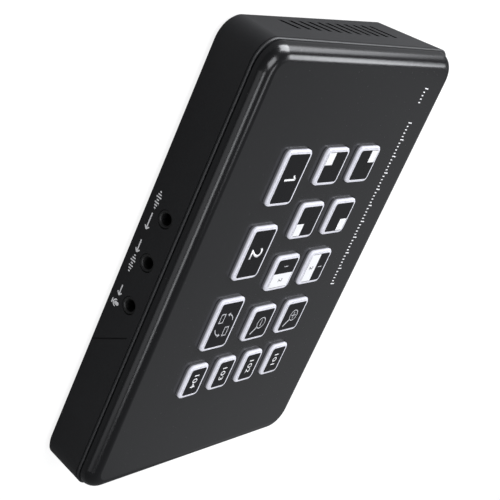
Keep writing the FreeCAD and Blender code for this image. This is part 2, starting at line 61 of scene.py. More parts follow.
class Signal:
    """A shader value. Its operators add Math nodes to the graph that it belongs to."""

    def __init__(self, graph: "Graph", socket: bpy.types.NodeSocket) -> None:
        """Wrap an output socket.

        Args:
            graph: The graph that holds the socket's node.
            socket: The output socket.
        """
        self.graph = graph
        self.socket = socket

    def _math(self, operation: str, first: "Operand", second: "Operand") -> "Signal":
        """Add one Math node.

        Args:
            operation: The Math node's operation.
            first: The left value.
            second: The right value.

        Returns:
            The node's result.
        """
        return self.graph.add("ShaderNodeMath", {"operation": operation}, {0: first, 1: second})

    def __add__(self, other: "Operand") -> "Signal":
        """Return self + other."""
        return self._math("ADD", self, other)

    __radd__ = __add__

    def __sub__(self, other: "Operand") -> "Signal":
        """Return self - other."""
        return self._math("SUBTRACT", self, other)

    def __rsub__(self, other: "Operand") -> "Signal":
        """Return other - self."""
        return self._math("SUBTRACT", other, self)

    def __mul__(self, other: "Operand") -> "Signal":
        """Return self * other."""
        return self._math("MULTIPLY", self, other)

    __rmul__ = __mul__

    def above(self, edge: float, soft: float) -> "Signal":
        """Rise smoothly from 0 to 1 round an edge.

        Args:
            edge: The value at which the result is one half.
            soft: Half the width of the rise.

        Returns:
            A mask between 0 and 1.
        """
        settings = {"interpolation_type": "SMOOTHSTEP"}
        return self.graph.add("ShaderNodeMapRange", settings, {0: self, 1: edge - soft, 2: edge + soft})


Operand = Union[Signal, float, Sequence[float]]


class Graph:
    """The node tree of one new material or world."""

    def __init__(self, owner: Union[bpy.types.Material, bpy.types.World]) -> None:
        """Start with an empty tree.

        Args:
            owner: The material or the world that the tree belongs to.
        """
        owner.use_nodes = True
        self.owner = owner
        self.tree = owner.node_tree
        self.tree.nodes.clear()
        self._place: Optional[Signal] = None

    @classmethod
    def of_material(cls, name: str) -> "Graph":
        """Start the graph of a new material."""
        return cls(bpy.data.materials.new(name))

    def add(self, kind: str, settings: Optional[Dict[str, object]] = None,
            inputs: Optional[Dict[Union[int, str], Operand]] = None, output: Union[int, str] = 0) -> Signal:
        """Add a node.

        Args:
            kind: The node's type.
            settings: Its settings, which are set first.
            inputs: A value or a signal for each named or numbered input.
            output: Which output to return.

        Returns:
            That output.
        """
        node = self.tree.nodes.new(kind)
        for name, value in (settings or {}).items():
            setattr(node, name, value)
        for name, value in (inputs or {}).items():
            self.feed(node.inputs[name], value)
        return Signal(self, node.outputs[output])

    def feed(self, socket: bpy.types.NodeSocket, value: Operand) -> None:
        """Link a signal to an input, or set the input's own value.

        Args:
            socket: The input.
            value: The signal or the constant.
        """
        if isinstance(value, Signal):
            self.tree.links.new(value.socket, socket)
        elif isinstance(value, (tuple, list)) and len(socket.default_value) > len(value):
            socket.default_value = (*value, 1.0)
        else:
            socket.default_value = value

    @property
    def place(self) -> Signal:
        """Object coordinates in metres.

        Returns:
            The coordinates, from a node that is added once.
        """
        if self._place is None:
            self._place = self.add("ShaderNodeTexCoord", output="Object")
        return self._place

    def stretched(self, scale: Sequence[float], turn: float = 0.0) -> Signal:
        """Scale and turn the object coordinates.

        Args:
            scale: Scale along each axis.
            turn: Turn about Z, in radians.

        Returns:
            The changed coordinates.
        """
        inputs = {"Vector": self.place, "Scale": scale, "Rotation": (0.0, 0.0, turn)}
        return self.add("ShaderNodeMapping", None, inputs)

    def along(self, direction: Vector) -> Signal:
        """Return how far the surface lies along a direction, in metres from the frame's origin.

        Args:
            direction: The unit direction.

        Returns:
            The distance.
        """
        return self.add("ShaderNodeVectorMath", {"operation": "DOT_PRODUCT"},
                        {0: self.place, 1: tuple(direction)}, "Value")

    def noise(self, size: float, detail: float = 2.0, place: Optional[Signal] = None) -> Signal:
        """Fractal noise between 0 and 1.

        Args:
            size: Size of its largest spots, in metres.
            detail: Octaves of finer spots.
            place: Coordinates, or None for the object's own.

        Returns:
            The noise value.
        """
        inputs = {"Vector": place or self.place, "Scale": 1.0 / size, "Detail": detail, "Roughness": 0.55}
        return self.add("ShaderNodeTexNoise", None, inputs, "Fac")

    def cells(self, size: float, feature: str = "F1", output: str = "Distance") -> Signal:
        """Voronoi cells.

        Args:
            size: Size of a cell, in metres.
            feature: What is measured in each cell.
            output: Which output to return.

        Returns:
            The output.
        """
        return self.add("ShaderNodeTexVoronoi", {"feature": feature},
                        {"Vector": self.place, "Scale": 1.0 / size}, output)

    def blend(self, mask: Operand, first: Operand, second: Operand) -> Signal:
        """Mix two colours.

        Args:
            mask: 0 for the first colour and 1 for the second.
            first: The colour at 0.
            second: The colour at 1.

        Returns:
            The mixed colour.
        """
        # 6 and 7 are the node's two colours, and 2 is its mixed colour.
        return self.add("ShaderNodeMix", {"data_type": "RGBA"}, {0: mask, 6: first, 7: second}, 2)

    def tones(self, mask: Operand, colour: Colour, low: float, high: float) -> Signal:
        """Mix two tones of one colour.

        Args:
            mask: 0 for the first tone and 1 for the second.
            colour: The colour.
            low: Factor of the first tone.
            high: Factor of the second tone.

        Returns:
            The mixed colour.
        """
        return self.blend(mask, shade(colour, low), shade(colour, high))

    def bump(self, height: Signal, depth: float) -> Signal:
        """Turn a height between 0 and 1 into a normal.

        Args:
            height: The height signal.
            depth: Depth of the relief in metres.

        Returns:
            The normal.
        """
        return self.add("ShaderNodeBump", None, {"Height": height, "Distance": depth, "Strength": 1.0})

    def seen_directly(self) -> Signal:
        """Return 1 for camera and transmission rays, and 0 for all others."""
        through = self.add("ShaderNodeLightPath", output="Is Transmission Ray")
        return self.add("ShaderNodeLightPath", output="Is Camera Ray") + through

    def surface(self, sockets: Dict[str, Operand]) -> bpy.types.Material:
        """Close the graph with a Principled shader.

        Args:
            sockets: A value or a signal for each of the shader's inputs.

        Returns:
            The finished material.
        """
        return self.close(self.add("ShaderNodeBsdfPrincipled", None, sockets))

    def close(self, shader: Signal,
              kind: str = "ShaderNodeOutputMaterial") -> Union[bpy.types.Material, bpy.types.World]:
        """Lead a shader to the output.

        Args:
            shader: The shader.
            kind: The output node's type.

        Returns:
            The finished material or world.
        """
        self.feed(self.tree.nodes.new(kind).inputs["Surface"], shader)
        return self.owner


def shade(colour: Colour, factor: float) -> Colour:
    """Multiply a colour by a factor."""
    return tuple(min(1.0, channel * factor) for channel in colour)


@dataclass(frozen=True)
class SparkPlastic:
    """Matte moulded plastic with the fine pitted grain of a spark-eroded mould."""

    name: str
    colour: Colour
    roughness: float = 0.5
    roughness_spread: float = 0.06
    grain: float = 0.00035
    depth: float = 0.000035
    pits_size: float = 0.00056
    pits_share: float = 0.35
    patch_size: float = 0.022
    patch_share: float = 0.45
    contrast: float = 0.22

    def material(self) -> bpy.types.Material:
        """Make the material.

        Returns:
            The finished material.
        """
        graph = Graph.of_material(self.name)
        fine = graph.noise(self.grain, 3.0)
        patches = graph.noise(self.patch_size, 3.0)
        height = fine * (1 - self.pits_share) + graph.cells(self.pits_size) * self.pits_share
        tone = (fine * (1 - self.patch_share) + patches * self.patch_share).above(0.5, self.contrast)
        rough = self.roughness - self.roughness_spread + patches * (2 * self.roughness_spread)
        return graph.surface({
            "Base Color": graph.tones(tone, self.colour, 1 - self.contrast, 1 + self.contrast),
            "Roughness": rough,
            "Normal": graph.bump(height, self.depth),
        })


@dataclass(frozen=True)
class GlossShell:
    """Glossy moulded shell with a faint flow pattern, dust and wiping marks."""

    name: str
    colour: Colour
    roughness: float = 0.21
    flow_size: float = 0.030
    flow_contrast: float = 0.10
    dust_size: float = 0.0006
    dust_colour: Colour = (0.30, 0.30, 0.31)
    dust_share: float = 0.10
    wipe_size: float = 0.004
    wipe_stretch: Triple = (0.25, 1.6, 1.0)
    wipe_turn: float = 0.5
    wipe_roughness: float = 0.012
    wave_size: float = 0.0030
    wave_depth: float = 0.0000015

    def material(self) -> bpy.types.Material:
        """Make the material.

        Returns:
            The finished material.
        """
        graph = Graph.of_material(self.name)
        flow = graph.noise(self.flow_size, 2.0)
        dust = graph.noise(self.dust_size, 2.0).above(0.74, 0.05)
        along = graph.stretched(self.wipe_stretch, self.wipe_turn)
        wipes = graph.noise(self.wipe_size, 3.0, along)
        tone = graph.tones(flow, self.colour, 1 - self.flow_contrast, 1 + self.flow_contrast)
        rough = self.roughness + wipes.above(0.62, 0.2) * self.wipe_roughness + dust * self.dust_share
        return graph.surface({
            "Base Color": graph.blend(dust * self.dust_share, tone, self.dust_colour),
            "Roughness": rough,
            "Normal": graph.bump(graph.noise(self.wave_size, 0.0), self.wave_depth),
        })


@dataclass(frozen=True)
class MilkyPlastic:
    """Translucent milky plastic of the key caps, with a painted glow above the panel and painted shade close
    to it.
    """

    name: str
    colour: Colour
    # Colour and strength of the painted glow, which stands in for light on the caps.
    light: Colour
    glow: float
    outward: Vector
    panel_level: float
    # Painted shade: where along the cap it gives way to the glow, and how dark and dim the cap is below it.
    fade_start: float = 0.0005
    fade_length: float = 0.0003
    painted_shade_tone: float = 0.10
    glow_in_painted_shade: float = 0.20
    roughness: float = 0.23
    cloud_size: float = 0.0035
    cloud_roughness: float = 0.12
    speck_size: float = 0.0004
    speck_depth: float = 0.000006

    def material(self) -> bpy.types.Material:
        """Make the material.

        Returns:
            The finished material.
        """
        graph = Graph.of_material(self.name)
        clouds = graph.noise(self.cloud_size, 3.0)
        specks = graph.noise(self.speck_size, 2.0)
        # Painted shade close to the panel, and painted glow above it.
        lit = (graph.along(self.outward) - self.panel_level).above(self.fade_start, self.fade_length)
        tone = graph.tones(clouds.above(0.5, 0.3), self.colour, 0.90, 1.06)
        return graph.surface({
            "Base Color": graph.blend(lit, shade(self.colour, self.painted_shade_tone), tone),
            "Roughness": self.roughness + clouds * self.cloud_roughness,
            "Subsurface Weight": 0.35,
            "Subsurface Radius": (1.0, 1.0, 1.1),
            "Subsurface Scale": 0.0012,
            "Emission Color": graph.tones(lit, self.light, self.glow_in_painted_shade, 1.0),
            "Emission Strength": self.glow,
            "Normal": graph.bump(specks, self.speck_depth),
        })


@dataclass(frozen=True)
class SatinPlastic:
    """Smooth plastic with a light satin and fine scuffs."""

    name: str
    colour: Colour
    roughness: float = 0.35
    scuff: float = 0.10
    index: float = 1.5
    cloud_size: float = 0.005
    cloud_roughness: float = 0.08
    scratch_size: float = 0.0012
    scratch_stretch: Triple = (0.12, 2.2, 1.0)
    scratch_turn: float = 0.7
    scuffed_tone: float = 2.4
    grain: float = 0.0003
    grain_depth: float = 0.000008

    def material(self) -> bpy.types.Material:
        """Make the material.

        Returns:
            The finished material.
        """
        graph = Graph.of_material(self.name)
        cloud = graph.noise(self.cloud_size, 3.0)
        along = graph.stretched(self.scratch_stretch, self.scratch_turn)
        worn = graph.noise(self.scratch_size, 4.0, along).above(0.68, 0.06) * self.scuff
        tone = graph.tones(cloud, self.colour, 0.88, 1.12)
        return graph.surface({
            "Base Color": graph.blend(worn, tone, shade(self.colour, self.scuffed_tone)),
            "Roughness": self.roughness + cloud * self.cloud_roughness + worn,
            "IOR": self.index,
            "Normal": graph.bump(graph.noise(self.grain, 2.0), self.grain_depth),
        })


@dataclass(frozen=True)
class PrintInk:
    """Screen-printed ink with the slight unevenness of its mesh, and a painted glow where it has one."""

    name: str
    colour: Colour
    # Strength of a painted glow that makes the print look lit.
    glow: float = 0.0
    roughness: float = 0.42
    mesh_roughness: float = 0.15
    mesh_size: float = 0.00025
    mesh_depth: float = 0.000004
    patch_size: float = 0.002

    def material(self) -> bpy.types.Material:
        """Make the material.

        Returns:
            The finished material.
        """
        graph = Graph.of_material(self.name)
        mesh = graph.noise(self.mesh_size, 2.0)
        patches = graph.noise(self.patch_size, 2.0)
        return graph.surface({
            "Base Color": graph.tones(mesh * 0.4 + patches * 0.3, self.colour, 1.05, 0.82),
            "Roughness": self.roughness + mesh * self.mesh_roughness,
            "Emission Color": self.colour,
            "Emission Strength": self.glow,
            "Normal": graph.bump(mesh, self.mesh_depth),
        })


@dataclass(frozen=True)
class BrushedMetal:
    """Plated or drawn metal with brushing along one axis."""

    name: str
    colour: Colour
    roughness: float = 0.3
    along: Triple = (0.04, 1.0, 1.0)
    tarnish: float = 0.25
    tarnished_tone: float = 0.6
    stain_size: float = 0.006
    stroke_size: float = 0.0003
    stroke_depth: float = 0.000006

    def material(self) -> bpy.types.Material:
        """Make the material.

        Returns:
            The finished material.
        """
        graph = Graph.of_material(self.name)
        strokes = graph.noise(self.stroke_size, 3.0, graph.stretched(self.along))
        stains = graph.noise(self.stain_size, 4.0).above(0.58, 0.16) * self.tarnish
        tone = graph.tones(strokes, self.colour, 0.85, 1.08)
        return graph.surface({
            "Base Color": graph.blend(stains, tone, shade(self.colour, self.tarnished_tone)),
            "Metallic": 1.0,
            "Roughness": self.roughness + strokes * 0.12 + stains * 0.3,
            "Normal": graph.bump(strokes, self.stroke_depth),
        })


@dataclass(frozen=True)
class CircuitBoard:
    """Solder resist over copper tracks, with plated holes and pads."""

    name: str
    colour: Colour
    pad_colour: Colour = (0.62, 0.50, 0.26)
    weave_size: float = 0.0064
    track_size: float = 0.0048
    pad_size: float = 0.00352
    relief: float = 0.00002

    def material(self) -> bpy.types.Material:
        """Make the material.

        Returns:
            The finished material.
        """
        graph = Graph.of_material(self.name)
        weave = graph.add("ShaderNodeTexBrick", {"offset": 0.5}, {
            "Vector": graph.place, "Scale": 1.0 / self.weave_size, "Mortar Size": 0.03,
            "Color1": (1.0, 1.0, 1.0), "Color2": (0.2, 0.2, 0.2), "Mortar": (0.0, 0.0, 0.0)}, "Fac")
        tracks = graph.cells(self.track_size, "DISTANCE_TO_EDGE").above(0.06, 0.02)
        pads = graph.cells(self.pad_size).above(0.16, 0.02)
        resist = graph.tones(tracks, self.colour, 1.7, 1.0)
        resist = graph.blend(weave * 0.25, resist, shade(self.colour, 0.7))
        return graph.surface({
            "Base Color": graph.blend(pads, self.pad_colour, resist),
            "Metallic": (1 - pads) * 0.9,
            "Roughness": 0.28 + tracks * 0.12,
            "Normal": graph.bump(tracks * 0.5 + pads * 0.5, self.relief),
        })


@dataclass(frozen=True)
class SoftRubber:
    """Soft matte rubber with a dusty bloom."""

    name: str
    colour: Colour
    roughness: float = 0.72
    bloom_size: float = 0.003
    grain: float = 0.0003
    grain_depth: float = 0.00002

    def material(self) -> bpy.types.Material:
        """Make the material.

        Returns:
            The finished material.
        """
        graph = Graph.of_material(self.name)
        bloom = graph.noise(self.bloom_size, 4.0)
        return graph.surface({
            "Base Color": graph.tones(bloom, self.colour, 1.0, 1.9),
            "Roughness": self.roughness + bloom * 0.2,
            "Normal": graph.bump(graph.noise(self.grain, 3.0), self.grain_depth),
        })


class Finishes:
    """Every material of the mixer, made once."""

    def __init__(self, panel: "PanelFrame") -> None:
        """Make the materials.

        Args:
            panel: The sloping panel, above which the keys are bright.
        """
        self.shell = GlossShell("glossy_black_shell", (0.0060, 0.0061, 0.0068)).material()
        self.housing = SparkPlastic("matte_black_housing", (0.0140, 0.0140, 0.0150)).material()
        # Painted shade for the walls of the vent slots.
        self.inside = SatinPlastic("unpolished_inside", (0.002, 0.002, 0.002), 0.6, index=1.2).material()
        # The milky caps carry a painted glow, and painted shade close to the panel.
        self.milky = MilkyPlastic("milky_key_plastic", (0.50, 0.50, 0.545), (0.62, 0.62, 0.68), 0.5,
                                  panel.outward, panel.level).material()
        self.plate = SatinPlastic("dark_key_plate", (0.0015, 0.0015, 0.0025), 0.24, 0.04, 1.31).material()
        # White print and the bright key windows carry a painted glow that stands in for light.
        self.white_ink = PrintInk("white_print", (0.90, 0.90, 0.91), 0.12).material()
        self.grey_ink = PrintInk("grey_print", (0.62, 0.62, 0.64), 0.0).material()
        self.lit_ink = PrintInk("bright_key_window", (0.90, 0.90, 0.91), 0.06).material()
        self.black_ink = PrintInk("black_print", (0.02, 0.02, 0.024)).material()
        self.board = CircuitBoard("green_circuit_board", (0.012, 0.075, 0.035)).material()
        self.nylon = SatinPlastic("black_nylon", (0.014, 0.014, 0.014), 0.5).material()
        self.lamp = SatinPlastic("clear_lamp_resin", (0.75, 0.74, 0.62), 0.2).material()
        self.plated = BrushedMetal("nickel_plated_steel", (0.62, 0.61, 0.59)).material()
        self.zinc = BrushedMetal("zinc_plated_screw", (0.50, 0.51, 0.54), 0.34, (1.0, 1.0, 1.0)).material()
        self.gold = BrushedMetal("gold_contact", (0.83, 0.60, 0.26), 0.22, tarnish=0.1).material()
        self.sink = BrushedMetal("finned_aluminium", (0.42, 0.43, 0.45), 0.4, (1.0, 0.04, 1.0)).material()
        self.can = BrushedMetal("drawn_aluminium_can", (0.75, 0.75, 0.77), 0.25, (1.0, 1.0, 0.05)).material()
        self.chip = SatinPlastic("epoxy_chip", (0.016, 0.016, 0.017), 0.55).material()
        self.rubber = SoftRubber("soft_rubber", (0.016, 0.016, 0.016)).material()


@dataclass(frozen=True)
class PanelFrame:
    """The sloping panel's directions, read from the keys' slides."""

    across: Vector
    up_slope: Vector
    outward: Vector
    level: float

    @classmethod
    def from_joints(cls, joints: Sequence[dict]) -> "PanelFrame":
        """Read the panel's directions, and its level from a key's plate.

        Args:
            joints: The frame's joints, of which each key's slide runs into the panel.

        Returns:
            The panel frame.
        """
        outward = -Vector(joints[0]["axis"]).normalized()
        across = Vector((1.0, 0.0, 0.0))
        level = middle(TOP_KEY).dot(outward) - PANEL_TO_PLATE
        return cls(across, outward.cross(across), outward, level)

    def at(self, origin: Vector) -> Matrix:
        """Return the matrix that lays flat work on the panel, with its origin at a point."""
        return lay(origin, self.across, self.up_slope, self.outward)


def lay(origin: Vector, right: Vector, up: Vector, out: Vector) -> Matrix:
    """Return the matrix that places flat work.

    Args:
        origin: Where its origin goes.
        right: Direction of its X.
        up: Direction of its Y.
        out: Direction that it faces.

    Returns:
        The matrix.
    """
    turn = Matrix((right, up, out)).transposed().to_4x4()
    return Matrix.Translation(origin) @ turn


def middle(node: str) -> Vector:
    """Return the middle of a node's box."""
    low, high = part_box(node)
    return (Vector(low) + Vector(high)) / 2


class Stencil:
    """Flat printed work, drawn in millimetres and raised into a thin solid."""

    thickness = 0.016
    sunk_share = 0.3
    weld = 0.0005
    degrees_per_step = 9
    fewest_steps = 6

    def __init__(self) -> None:
        """Start with nothing drawn."""
        self.work = bmesh.new()

    def _join(self, part: bmesh.types.BMesh, matrix: Matrix) -> None:
        """Add another drawing.

        Args:
            part: The drawing, which is freed.
            matrix: Where it goes.
        """
        part.transform(matrix)
        mesh = bpy.data.meshes.new("stencil")
        part.to_mesh(mesh)
        part.free()
        self.work.from_mesh(mesh)
        bpy.data.meshes.remove(mesh)

    @staticmethod
    def _at(x: float, y: float, turn: float = 0.0) -> Matrix:
        """Return a flat placing: a turn in degrees, then a move."""
        return Matrix.Translation((x, y, 0.0)) @ Matrix.Rotation(math.radians(turn), 4, "Z")

    def bar(self, x: float, y: float, width: float, height: float, turn: float = 0.0) -> "Stencil":
        """Draw a filled rectangle.

        Args:
            x: Middle along X.
            y: Middle along Y.
            width: Size along X.
            height: Size along Y.
            turn: Turn in degrees.

        Returns:
            The stencil.
        """
        part = bmesh.new()
        bmesh.ops.create_grid(part, x_segments=1, y_segments=1, size=0.5)
        bmesh.ops.scale(part, vec=(width, height, 1.0), verts=part.verts)
        self._join(part, self._at(x, y, turn))
        return self

    def frame(self, x: float, y: float, width: float, height: float, line: float) -> "Stencil":
        """Draw the outline of a rectangle.

        Args:
            x: Middle along X.
            y: Middle along Y.
            width: Outer size along X.
            height: Outer size along Y.
            line: Width of the line.

        Returns:
            The stencil.
        """
        for side in (-1, 1):
            self.bar(x, y + side * (height - line) / 2, width, line)
            self.bar(x + side * (width - line) / 2, y, line, height - 2 * line)
        return self

    def rounded_frame(self, width: float, height: float, radius: float, line: float) -> "Stencil":
        """Draw the outline of a rounded rectangle about the origin.

        Args:
            width: Outer size along X.
            height: Outer size along Y.
            radius: Outer radius of its corners.
            line: Width of the line.

        Returns:
            The stencil.
        """
        for side in (-1, 1):
            self.bar(0.0, side * (height - line) / 2, width - 2 * radius, line)
            self.bar(side * (width - line) / 2, 0.0, line, height - 2 * radius)
        x, y = width / 2 - radius, height / 2 - radius
        for across, up, start in ((1, 1, 0.0), (-1, 1, 90.0), (-1, -1, 180.0), (1, -1, 270.0)):
            self.arc(across * x, up * y, radius - line / 2, line, start, 90.0)
        return self

    def disc(self, x: float, y: float, radius: float, corners: int = 24, turn: float = 0.0) -> "Stencil":
        """Draw a filled disc, or a regular polygon.

        Args:
            x: Middle along X.
            y: Middle along Y.
            radius: Radius of its corners.
            corners: Number of corners.
            turn: Turn in degrees.

        Returns:
            The stencil.
        """
        part = bmesh.new()
        bmesh.ops.create_circle(part, cap_ends=True, radius=radius, segments=corners)
        self._join(part, self._at(x, y, turn))
        return self

    def arc(self, x: float, y: float, radius: float, line: float, start: float, sweep: float) -> "Stencil":
        """Draw a band along an arc.

        Args:
            x: Centre along X.
            y: Centre along Y.
            radius: Radius of the band's middle.
            line: Width of the band.
            start: Angle of its start in degrees.
            sweep: Angle that it runs through in degrees.

        Returns:
            The stencil.
        """
        part = bmesh.new()
        ends = [part.verts.new((radius + side * line / 2, 0.0, 0.0)) for side in (-1, 1)]
        part.edges.new(ends)
        steps = max(self.fewest_steps, int(sweep / self.degrees_per_step))
        bmesh.ops.spin(part, geom=part.verts[:] + part.edges[:], cent=(0, 0, 0), axis=(0, 0, 1),
                       angle=math.radians(sweep), steps=steps, use_merge=sweep == 360.0)
        self._join(part, self._at(x, y, start))
        return self

    def figures(self, text: str, x: float, y: float, height: float, weight: float = 0.003,
                spread: float = 1.0) -> "Stencil":
        """Draw plain figures.

        Args:
            text: The figures.
            x: Middle along X.
            y: Middle along Y.
            height: Height of a figure.
            weight: Thickening of the strokes, as a share of the figures' size.
            spread: Extra width.

        Returns:
            The stencil.
        """
        curve = bpy.data.curves.new("figures", "FONT")
        curve.body = text
        curve.align_x, curve.align_y = "CENTER", "CENTER"
        curve.offset = weight
        holder = bpy.data.objects.new("figures", curve)
        bpy.context.scene.collection.objects.link(holder)
        mesh = bpy.data.meshes.new_from_object(holder.evaluated_get(bpy.context.evaluated_depsgraph_get()))
        bpy.data.objects.remove(holder)
        part = bmesh.new()
        part.from_mesh(mesh)
        bpy.data.meshes.remove(mesh)
        lows = [min(v.co[i] for v in part.verts) for i in (0, 1)]
        highs = [max(v.co[i] for v in part.verts) for i in (0, 1)]
        size = height / (highs[1] - lows[1])
        centre = Matrix.Translation((-(lows[0] + highs[0]) / 2, -(lows[1] + highs[1]) / 2, 0.0))
        self._join(part, self._at(x, y) @ Matrix.Diagonal((size * spread, size, 1.0, 1.0)) @ centre)
        return self

    def print_on(self, name: str, place: Matrix, material: bpy.types.Material, body: str,
                 layer: int = 0, skirt: float = 0.0) -> bpy.types.Object:
        """Raise the drawing into a thin solid and put it on the mixer.

        Args:
            name: The new piece's name.
            place: Matrix that lays the drawing on its surface, in metres.
            material: Its material.
            body: The body that it rides with.
            layer: 0 for print on the surface and 1 for print on that print.
            skirt: How far its sides reach down past the surface, in millimetres.

        Returns:
            The new piece.
        """
        bmesh.ops.remove_doubles(self.work, verts=self.work.verts, dist=self.weld)
        bmesh.ops.recalc_face_normals(self.work, faces=self.work.faces)
        flipped = [face for face in self.work.faces if face.normal.z < 0]
        bmesh.ops.reverse_faces(self.work, faces=flipped)
        raised = bmesh.ops.extrude_face_region(self.work, geom=self.work.faces[:])
        top = [item for item in raised["geom"] if isinstance(item, bmesh.types.BMVert)]
        bmesh.ops.translate(self.work, vec=(0.0, 0.0, self.thickness + skirt), verts=top)
        bmesh.ops.recalc_face_normals(self.work, faces=self.work.faces)
        lift = Matrix.Translation((0.0, 0.0, (layer - self.sunk_share) * self.thickness - skirt))
        self.work.transform(place @ Matrix.Scale(MM, 4) @ lift)
        return piece(name, self.work, material, body)


def piece(name: str, work: bmesh.types.BMesh, material: bpy.types.Material, body: str) -> bpy.types.Object:
    """Finish a mesh as a piece that rides with a body.

    Args:
        name: The piece's name.
        work: Its mesh in the frame's metres, which is freed.
        material: Its material.
        body: The body that it rides with.

    Returns:
        The piece.
    """
    mesh = bpy.data.meshes.new(name)
    work.to_mesh(mesh)
    work.free()
    mesh.materials.append(material)
    made = bpy.data.objects.new(name, mesh)
    bpy.context.scene.collection.objects.link(made)
    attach(made, body)
    LOG.info("%s: %d faces on %s", name, len(mesh.polygons), body)
    return made


@dataclass
class Console:
    """The solids of the mixer and what each one is finished in."""

    finishes: Finishes
    nodes: Dict[str, bpy.types.Object]
    slot_from_x: float = 70.0 * MM
    slot_to_y: float = 42.0 * MM
    slot_most_endwise: float = 0.5
    slot_most_upright: float = 0.8

    def material_of(self, node: str) -> bpy.types.Material:
        """Find the material of a node.

        Args:
            node: The node's name.

        Returns:
            The material.
        """
        finish = self.finishes
        table = {
            "key_cap_": finish.milky, "key_face_": finish.plate,
            "key_switches": finish.nylon, "key_lamps": finish.lamp,
            "key_board_screws": finish.zinc, "main_board_screws": finish.zinc,
            "case_screws": finish.zinc, "key_board": finish.board,
            "main_board": finish.board, "top_shell": finish.shell,
            "base_housing": finish.housing, "rubber_feet": finish.rubber,
            "line_": finish.nylon, "microphone_": finish.nylon,
            "video_processor": finish.chip, "video_": finish.plated,
            "power_socket": finish.plated, "data_socket": finish.plated,
            "socket_tongues": finish.nylon, "heat_sink": finish.sink,
            "memory_chips": finish.chip, "capacitors": finish.can,
            "board_link": finish.nylon,
        }
        return next(material for start, material in table.items() if node.startswith(start))

    def dress(self) -> None:
        """Give every solid its material."""
        for name, node in self.nodes.items():
            node.data.materials.clear()
            node.data.materials.append(self.material_of(name))
        self.paint_slot_shade(self.nodes["base_housing"].data)
        LOG.info("solids: %d nodes dressed", len(self.nodes))

    def paint_slot_shade(self, mesh: bpy.types.Mesh) -> None:
        """Lay painted shade on the walls of the vent slots: a near-black finish, darker than the housing.

        Args:
            mesh: The housing's mesh, in metres.
        """
        # The near-black painted shade goes on the slot walls as a second material.
        mesh.materials.append(self.finishes.inside)
        for face in mesh.polygons:
            in_end_wall = abs(face.center.x) > self.slot_from_x and abs(face.center.y) < self.slot_to_y
            faces_slot = (abs(face.normal.x) < self.slot_most_endwise
                          and abs(face.normal.z) < self.slot_most_upright)
            if in_end_wall and faces_slot:
                face.material_index = 1


class Corner(Enum):
    """Corner of a key that its bright window fills."""

    TOP_LEFT = (-1, 1)
    TOP_RIGHT = (1, 1)
    BOTTOM_LEFT = (-1, -1)
    BOTTOM_RIGHT = (1, -1)


